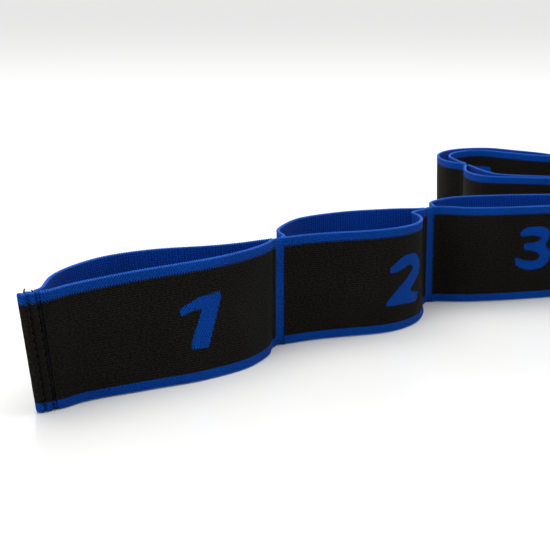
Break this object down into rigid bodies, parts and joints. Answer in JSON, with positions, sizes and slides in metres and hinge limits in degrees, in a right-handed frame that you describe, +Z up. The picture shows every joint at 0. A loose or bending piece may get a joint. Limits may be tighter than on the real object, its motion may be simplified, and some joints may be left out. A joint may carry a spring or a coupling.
{
  "type": "looped elastic stretching strap",
  "caption": "Elastic webbing strap woven as a chain of hand loops, standing on its edge and folded back on itself, with sewn ends.",
  "frame": {"origin": "centre of the bounding box, on the surface that the strap's lower edge stands on", "axes": "+Z up along the strap's width; +X to the right along the folded strap as seen from its numbered side; +Y away from that side"},
  "size_m": [0.3382, 0.3364, 0.04],
  "materials": {
    "black_webbing": "matt black twill webbing with a royal blue border and a blue inner side",
    "blue_webbing": "matt royal blue webbing",
    "sewing_thread": "black polyester sewing thread, slight sheen"
  },
  "bodies": {
    "loop_1": {"front_ply_1": "black_webbing", "back_ply_1": "black_webbing", "woven_bar_1_2": "blue_webbing", "end_hem_1": "black_webbing", "needle_thread_1_1": "sewing_thread", "needle_thread_1_2": "sewing_thread", "bobbin_thread_1_1": "sewing_thread", "bobbin_thread_1_2": "sewing_thread"},
    "loop_2": {"front_ply_2": "black_webbing", "back_ply_2": "black_webbing", "woven_bar_2_3": "blue_webbing"},
    "loop_3": {"front_ply_3": "black_webbing", "back_ply_3": "black_webbing", "woven_bar_3_4": "blue_webbing"},
    "loop_4": {"front_ply_4": "black_webbing", "back_ply_4": "black_webbing", "woven_bar_4_5": "blue_webbing"},
    "loop_5": {"front_ply_5": "black_webbing", "back_ply_5": "black_webbing", "woven_bar_5_6": "blue_webbing"},
    "loop_6": {"front_ply_6": "black_webbing", "back_ply_6": "black_webbing", "woven_bar_6_7": "blue_webbing"},
    "loop_7": {"front_ply_7": "black_webbing", "back_ply_7": "black_webbing", "woven_bar_7_8": "blue_webbing"},
    "loop_8": {"front_ply_8": "black_webbing", "back_ply_8": "black_webbing", "end_hem_8": "black_webbing", "needle_thread_8_1": "sewing_thread", "needle_thread_8_2": "sewing_thread", "bobbin_thread_8_1": "sewing_thread", "bobbin_thread_8_2": "sewing_thread"}
  },
  "joints": [
    {"name": "fold_1_2", "type": "hinge", "parent": "loop_1", "child": "loop_2", "pos_m": [-0.0912, -0.0819, 0.02], "axis": [0, 0, 1], "range_deg": [-95, 95]},
    {"name": "fold_2_3", "type": "hinge", "parent": "loop_2", "child": "loop_3", "pos_m": [-0.0297, -0.0184, 0.02], "axis": [0, 0, -1], "range_deg": [-95, 85]},
    {"name": "fold_3_4", "type": "hinge", "parent": "loop_3", "child": "loop_4", "pos_m": [0.0678, 0.0151, 0.02], "axis": [0, 0, 1], "range_deg": [-95, 35]},
    {"name": "fold_4_5", "type": "hinge", "parent": "loop_4", "child": "loop_5", "pos_m": [0.1628, 0.0401, 0.02], "axis": [0, 0, -1], "range_deg": [-8, 95]},
    {"name": "fold_5_6", "type": "hinge", "parent": "loop_5", "child": "loop_6", "pos_m": [0.0718, 0.0521, 0.02], "axis": [0, 0, 1], "range_deg": [-45, 38]},
    {"name": "fold_6_7", "type": "hinge", "parent": "loop_6", "child": "loop_7", "pos_m": [0.0028, 0.1051, 0.02], "axis": [0, 0, -1], "range_deg": [-95, 24]},
    {"name": "fold_7_8", "type": "hinge", "parent": "loop_7", "child": "loop_8", "pos_m": [0.0608, 0.1351, 0.02], "axis": [0, 0, 1], "range_deg": [-38, 95]}
  ]
}
